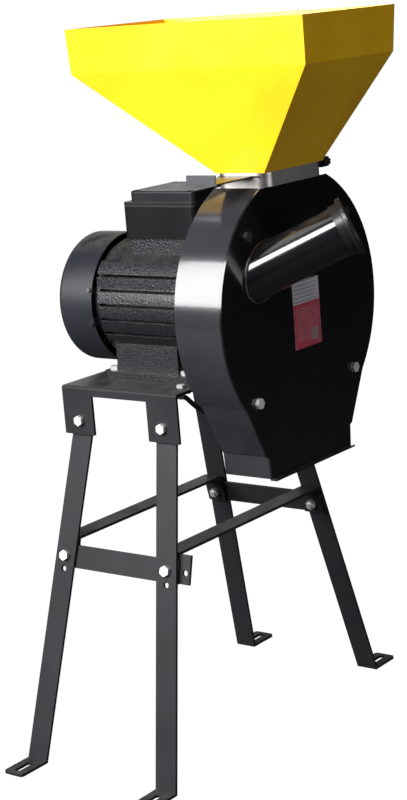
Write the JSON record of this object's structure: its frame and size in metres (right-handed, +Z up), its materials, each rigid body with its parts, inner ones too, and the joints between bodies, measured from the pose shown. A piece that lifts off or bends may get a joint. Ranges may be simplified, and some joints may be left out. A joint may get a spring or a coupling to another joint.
{
  "type": "hammer mill",
  "caption": "Hammer mill on a four-legged stand: yellow hopper with slide gate, round milling chamber with chute and side feed tube, and a flange-mounted electric motor.",
  "frame": {"origin": "on the floor, in the middle of the four slots in the feet", "axes": "+Z up, -Y towards the mill's front cover and feed tube, +Y towards the motor's fan cover, +X to the right seen from the front"},
  "size_m": [0.61, 0.4746, 1],
  "materials": {
    "stand_paint": "satin powder coat",
    "mill_paint": "gloss powder coat",
    "cap_plastic": "satin moulded",
    "motor_paint": "hammered enamel over cast aluminium",
    "fan_cover_paint": "satin enamel",
    "box_paint": "satin enamel",
    "gasket_rubber": "matte",
    "zinc": "bright zinc plate",
    "black_steel": "blackened",
    "steel": "machined",
    "hammer_steel": "hardened, dark",
    "laminations": "varnished laminations",
    "copper": "varnished copper wire",
    "fan_plastic": "moulded",
    "block_plastic": "moulded",
    "hopper_yellow": "gloss powder coat",
    "neck_metal": "satin, slightly worn",
    "gate_metal": "satin, dark",
    "knob_black": "moulded",
    "cord_black": "matte sheath",
    "plug_black": "moulded",
    "label_print": "printed film"
  },
  "bodies": {
    "machine": {"cable_gland": "plug_black", "clip_bolt": "zinc", "coil_ties": "plug_black", "cord_clip": "zinc", "cord_coil": "cord_black", "cord_lead": "cord_black", "cover_bolts": "zinc", "cover_posts": "steel", "cross_brace_left": "stand_paint", "cross_brace_right": "stand_paint", "fan_cover": "fan_cover_paint", "feed_tube": "mill_paint", "flange_bolts": "zinc", "front_cover": "mill_paint", "hopper": "hopper_yellow", "label": "label_print", "leg_front_left": "stand_paint", "leg_front_right": "stand_paint", "leg_rear_left": "stand_paint", "leg_rear_right": "stand_paint", "long_brace_front": "stand_paint", "long_brace_rear": "stand_paint", "mill_housing": "mill_paint", "motor_bearings": "steel", "motor_frame": "motor_paint", "motor_front_shield": "motor_paint", "motor_rear_shield": "motor_paint", "motor_screws": "black_steel", "neck": "neck_metal", "plug": "plug_black", "run_capacitor": "block_plastic", "screen": "steel", "screen_rails": "steel", "stand_bolts": "zinc", "stand_nuts": "zinc", "stand_top_plate": "stand_paint", "stator_core": "laminations", "stator_windings": "copper", "strain_relief": "cord_black", "terminal_block": "block_plastic", "terminal_box": "box_paint", "terminal_box_gasket": "gasket_rubber", "terminal_box_lid": "box_paint", "tie_bolts": "zinc"},
    "rotor": {"motor_shaft": "steel", "rotor_core": "laminations", "cooling_fan": "fan_plastic", "rotor_discs": "steel", "shaft_key": "steel", "hammer_pins": "steel", "hammer_spacers": "steel", "hub_bolt": "zinc"},
    "hammer_1": {"hammer_1": "hammer_steel"},
    "hammer_2": {"hammer_2": "hammer_steel"},
    "hammer_3": {"hammer_3": "hammer_steel"},
    "hammer_4": {"hammer_4": "hammer_steel"},
    "slide_gate": {"slide_gate": "gate_metal"},
    "tube_cap": {"tube_cap": "cap_plastic"},
    "gate_lock_screw": {"gate_lock_screw": "knob_black"}
  },
  "joints": [
    {"name": "rotor_spin", "type": "hinge", "parent": "machine", "child": "rotor", "pos_m": [0, 0, 0.62], "axis": [0, 1, 0], "continuous": true},
    {"name": "hammer_1_swing", "type": "hinge", "parent": "rotor", "child": "hammer_1", "pos_m": [0.0594, -0.1725, 0.6794], "axis": [0, 1, 0], "continuous": true},
    {"name": "hammer_2_swing", "type": "hinge", "parent": "rotor", "child": "hammer_2", "pos_m": [-0.0594, -0.1725, 0.6794], "axis": [0, 1, 0], "continuous": true},
    {"name": "hammer_3_swing", "type": "hinge", "parent": "rotor", "child": "hammer_3", "pos_m": [-0.0594, -0.1725, 0.5606], "axis": [0, 1, 0], "continuous": true},
    {"name": "hammer_4_swing", "type": "hinge", "parent": "rotor", "child": "hammer_4", "pos_m": [0.0594, -0.1725, 0.5606], "axis": [0, 1, 0], "continuous": true},
    {"name": "gate_slide", "type": "slide", "parent": "machine", "child": "slide_gate", "axis": [-1, 0, 0], "range_m": [0, 0.118]},
    {"name": "cap_pull", "type": "slide", "parent": "machine", "child": "tube_cap", "axis": [0.5279, -0.7498, 0.3989], "range_m": [0, 0.04]},
    {"name": "lock_screw_turn", "type": "hinge", "parent": "machine", "child": "gate_lock_screw", "pos_m": [0.08, -0.2, 0.798], "axis": [1, 0, 0], "range_deg": [0, 720]}
  ]
}
